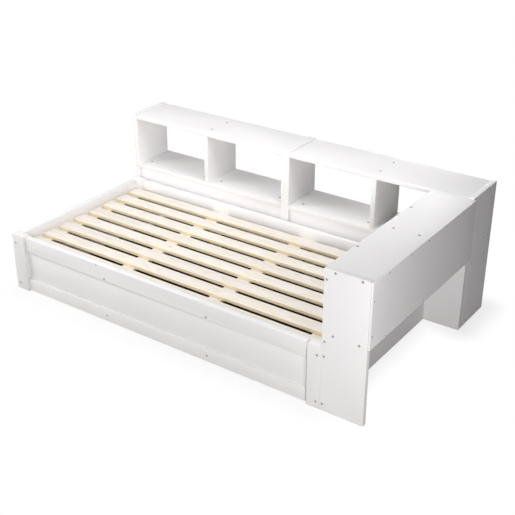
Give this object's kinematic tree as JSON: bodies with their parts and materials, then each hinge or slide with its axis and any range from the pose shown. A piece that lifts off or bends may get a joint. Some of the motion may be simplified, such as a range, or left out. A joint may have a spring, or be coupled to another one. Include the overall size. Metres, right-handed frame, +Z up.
{
  "type": "corner day bed",
  "caption": "Low panelled single bed with a slatted base, open bookcase units behind it and a bridge shelf across one end, forming an L-shaped surround.",
  "frame": {"origin": "centre of the bounding box's footprint, on the floor", "axes": "+X along the bed towards its end with the bridge shelf, +Y from the open front towards the bookcase units, +Z up"},
  "size_m": [2.1608, 1.2596, 0.7149],
  "materials": {
    "white_paint": "boards under smooth satin white paint",
    "pale_wood": "planed pale softwood, unvarnished",
    "bolt_steel": "plain zinc-plated steel"
  },
  "bodies": {
    "root": {"post_front_left": "white_paint", "post_rear_left": "white_paint", "post_front_right": "white_paint", "post_rear_right": "white_paint", "front_top_rail": "white_paint", "front_panel": "white_paint", "front_bottom_rail": "white_paint", "left_end_top_rail": "white_paint", "left_end_panel": "white_paint", "left_end_bottom_rail": "white_paint", "right_end_top_rail": "white_paint", "right_end_panel": "white_paint", "right_end_bottom_rail": "white_paint", "rear_rail": "white_paint", "left_unit_side_left": "white_paint", "left_unit_side_right": "white_paint", "left_unit_top": "white_paint", "left_unit_divider": "white_paint", "left_unit_shelf": "white_paint", "left_unit_apron": "white_paint", "right_unit_side_left": "white_paint", "right_unit_side_right": "white_paint", "right_unit_top": "white_paint", "right_unit_divider": "white_paint", "right_unit_shelf": "white_paint", "right_unit_apron": "white_paint", "bridge_front_board": "white_paint", "bridge_rear_board": "white_paint", "bridge_top": "white_paint", "bridge_shelf": "white_paint", "bridge_divider": "white_paint", "bridge_upper_apron_front": "white_paint", "bridge_upper_apron_rear": "white_paint", "bridge_lower_apron": "white_paint", "bridge_end_panel": "white_paint", "bridge_outer_panel": "white_paint", "bearer_left": "pale_wood", "ledger_left": "pale_wood", "crossbar_left": "pale_wood", "leg_front_left": "pale_wood", "leg_rear_left": "pale_wood", "bearer_right": "pale_wood", "ledger_right": "pale_wood", "crossbar_right": "pale_wood", "leg_front_right": "pale_wood", "leg_rear_right": "pale_wood", "slat_1": "pale_wood", "slat_2": "pale_wood", "slat_3": "pale_wood", "slat_4": "pale_wood", "slat_5": "pale_wood", "slat_6": "pale_wood", "slat_7": "pale_wood", "slat_8": "pale_wood", "unit_bolt_upper": "bolt_steel", "unit_bolt_lower": "bolt_steel", "end_bolt_front": "bolt_steel", "end_bolt_rear": "bolt_steel", "bridge_bolt_lower": "bolt_steel", "bridge_bolt_upper": "bolt_steel"}
  },
  "joints": []
}
